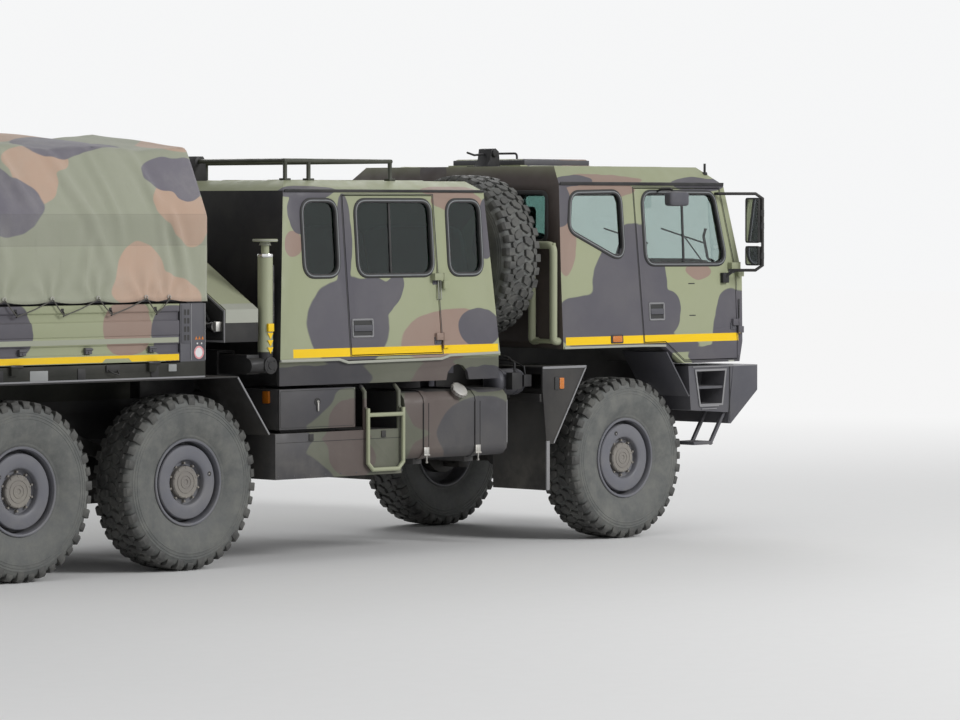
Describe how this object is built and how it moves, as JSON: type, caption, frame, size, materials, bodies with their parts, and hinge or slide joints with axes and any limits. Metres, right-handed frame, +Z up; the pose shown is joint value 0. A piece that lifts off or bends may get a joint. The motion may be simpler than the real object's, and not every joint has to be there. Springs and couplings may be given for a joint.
{
  "type": "military cargo truck",
  "caption": "Six-wheel-drive cargo truck with a driver's cab, a crew cab, a stowed loading crane and a tarpaulin-covered load bed.",
  "frame": {"origin": "on the ground below the middle of the truck's box", "axes": "+X towards the nose, +Y to the truck's left, +Z up"},
  "size_m": [9.31, 2.964, 3.13],
  "materials": {
    "paint_green": "matt camouflage paint: pale sage, pinkish brown and dark grey-violet areas",
    "paint_dark": "matt dark grey paint",
    "frame_black": "satin black chassis paint with road dust",
    "tyre_rubber": "weathered grey-black rubber",
    "rim_grey": "satin dark grey paint",
    "glass": "tinted safety glass",
    "canvas": "coated camouflage tarpaulin, matt",
    "seat_cloth": "dark seat covering and dashboard moulding"
  },
  "bodies": {
    "truck": {"chassis_frame": "frame_black", "engine_block": "frame_black", "front_axle": "frame_black", "middle_axle": "frame_black", "rear_axle": "frame_black", "bogie_springs": "frame_black", "crane_base": "frame_black", "spare_carrier": "paint_dark", "front_fender_right": "paint_dark", "front_fender_left": "paint_dark", "front_bumper": "paint_dark", "bed_guard_right": "paint_dark", "bed_guard_left": "paint_dark", "cab_shell": "paint_green", "crew_cab_shell": "paint_green", "roof_rack": "paint_green", "load_bed": "paint_green", "fuel_tank_right": "paint_green", "stowage_box_right": "paint_green", "fuel_tank_left": "paint_green", "stowage_box_left": "paint_green", "windscreen": "glass", "tarpaulin": "canvas", "dashboard": "seat_cloth", "cab_seats": "seat_cloth", "crew_benches": "seat_cloth", "spare_tyre": "tyre_rubber", "spare_rim": "rim_grey"},
    "knuckle_right": {"knuckle_right": "frame_black"},
    "knuckle_left": {"knuckle_left": "frame_black"},
    "wheel_front_right": {"tyre_front_right": "tyre_rubber", "rim_front_right": "rim_grey"},
    "wheel_front_left": {"tyre_front_left": "tyre_rubber", "rim_front_left": "rim_grey"},
    "wheel_middle_right": {"tyre_middle_right": "tyre_rubber", "rim_middle_right": "rim_grey"},
    "wheel_middle_left": {"tyre_middle_left": "tyre_rubber", "rim_middle_left": "rim_grey"},
    "wheel_rear_right": {"tyre_rear_right": "tyre_rubber", "rim_rear_right": "rim_grey"},
    "wheel_rear_left": {"tyre_rear_left": "tyre_rubber", "rim_rear_left": "rim_grey"},
    "cab_door_right": {"cab_door_right": "paint_green", "mirror_right": "frame_black"},
    "crew_door_right": {"crew_door_right": "paint_green"},
    "cab_door_left": {"cab_door_left": "paint_green", "mirror_left": "frame_black"},
    "crew_door_left": {"crew_door_left": "paint_green"},
    "roof_hatch": {"roof_hatch": "paint_dark"},
    "stowage_lid_right": {"stowage_lid_right": "paint_green"},
    "fold_ladder_right": {"fold_ladder_right": "paint_green"},
    "drop_side_right": {"drop_side_right": "paint_green"},
    "stabiliser_right": {"stabiliser_right": "paint_green"},
    "stowage_lid_left": {"stowage_lid_left": "paint_green"},
    "fold_ladder_left": {"fold_ladder_left": "paint_green"},
    "drop_side_left": {"drop_side_left": "paint_green"},
    "stabiliser_left": {"stabiliser_left": "paint_green"},
    "tailgate": {"tailgate": "paint_green"},
    "crane_boom": {"crane_boom": "paint_green"}
  },
  "joints": [
    {"name": "steer_right", "type": "hinge", "parent": "truck", "child": "knuckle_right", "pos_m": [3.205, -0.8, 0.63], "axis": [0, 0, 1], "range_deg": [-28, 28]},
    {"name": "steer_left", "type": "hinge", "parent": "truck", "child": "knuckle_left", "pos_m": [3.205, 0.8, 0.63], "axis": [0, 0, 1], "range_deg": [-28, 28]},
    {"name": "spin_front_right", "type": "hinge", "parent": "knuckle_right", "child": "wheel_front_right", "pos_m": [3.205, -1.0025, 0.63], "axis": [0, 1, 0], "continuous": true},
    {"name": "spin_front_left", "type": "hinge", "parent": "knuckle_left", "child": "wheel_front_left", "pos_m": [3.205, 1.0025, 0.63], "axis": [0, 1, 0], "continuous": true},
    {"name": "spin_middle_right", "type": "hinge", "parent": "truck", "child": "wheel_middle_right", "pos_m": [-1.345, -1.0025, 0.63], "axis": [0, 1, 0], "continuous": true},
    {"name": "spin_middle_left", "type": "hinge", "parent": "truck", "child": "wheel_middle_left", "pos_m": [-1.345, 1.0025, 0.63], "axis": [0, 1, 0], "continuous": true},
    {"name": "spin_rear_right", "type": "hinge", "parent": "truck", "child": "wheel_rear_right", "pos_m": [-2.875, -1.0025, 0.63], "axis": [0, 1, 0], "continuous": true},
    {"name": "spin_rear_left", "type": "hinge", "parent": "truck", "child": "wheel_rear_left", "pos_m": [-2.875, 1.0025, 0.63], "axis": [0, 1, 0], "continuous": true},
    {"name": "cab_door_right", "type": "hinge", "parent": "truck", "child": "cab_door_right", "pos_m": [4.41958, -1.262, 1.52], "axis": [0, 0, 1], "range_deg": [0, 70]},
    {"name": "crew_door_right", "type": "hinge", "parent": "truck", "child": "crew_door_right", "pos_m": [1.10654, -1.262, 1.47], "axis": [0, 0, 1], "range_deg": [0, 70]},
    {"name": "cab_door_left", "type": "hinge", "parent": "truck", "child": "cab_door_left", "pos_m": [4.41958, 1.262, 1.52], "axis": [0, 0, -1], "range_deg": [0, 70]},
    {"name": "crew_door_left", "type": "hinge", "parent": "truck", "child": "crew_door_left", "pos_m": [1.10654, 1.262, 1.47], "axis": [0, 0, -1], "range_deg": [0, 70]},
    {"name": "roof_hatch", "type": "hinge", "parent": "truck", "child": "roof_hatch", "pos_m": [2.845, 0, 2.9643], "axis": [0, -1, 0], "range_deg": [0, 100]},
    {"name": "stowage_lid_right", "type": "hinge", "parent": "truck", "child": "stowage_lid_right", "pos_m": [-0.555, -1.25, 0.977], "axis": [1, 0, 0], "range_deg": [0, 90]},
    {"name": "fold_ladder_right", "type": "hinge", "parent": "truck", "child": "fold_ladder_right", "pos_m": [0.305, -1.275, 1.11], "axis": [-1, 0, 0], "range_deg": [0, 90]},
    {"name": "drop_side_right", "type": "hinge", "parent": "truck", "child": "drop_side_right", "pos_m": [-4.467, -1.27, 1.494], "axis": [1, 0, 0], "range_deg": [0, 175]},
    {"name": "stabiliser_right", "type": "slide", "parent": "truck", "child": "stabiliser_right", "axis": [0, -1, 0], "range_m": [0, 0.45]},
    {"name": "stowage_lid_left", "type": "hinge", "parent": "truck", "child": "stowage_lid_left", "pos_m": [-0.555, 1.25, 0.977], "axis": [-1, 0, 0], "range_deg": [0, 90]},
    {"name": "fold_ladder_left", "type": "hinge", "parent": "truck", "child": "fold_ladder_left", "pos_m": [0.305, 1.275, 1.11], "axis": [1, 0, 0], "range_deg": [0, 90]},
    {"name": "drop_side_left", "type": "hinge", "parent": "truck", "child": "drop_side_left", "pos_m": [-4.467, 1.27, 1.494], "axis": [-1, 0, 0], "range_deg": [0, 175]},
    {"name": "stabiliser_left", "type": "slide", "parent": "truck", "child": "stabiliser_left", "axis": [0, 1, 0], "range_m": [0, 0.45]},
    {"name": "tailgate", "type": "hinge", "parent": "truck", "child": "tailgate", "pos_m": [-4.555, 0, 1.494], "axis": [0, -1, 0], "range_deg": [0, 175]},
    {"name": "crane_boom", "type": "hinge", "parent": "truck", "child": "crane_boom", "pos_m": [-0.875, 0.52, 2.2], "axis": [-1, 0, 0], "range_deg": [0, 70]}
  ],
  "couplings": [
    {"joint": "steer_left", "follows": "steer_right", "ratio": 1}
  ]
}
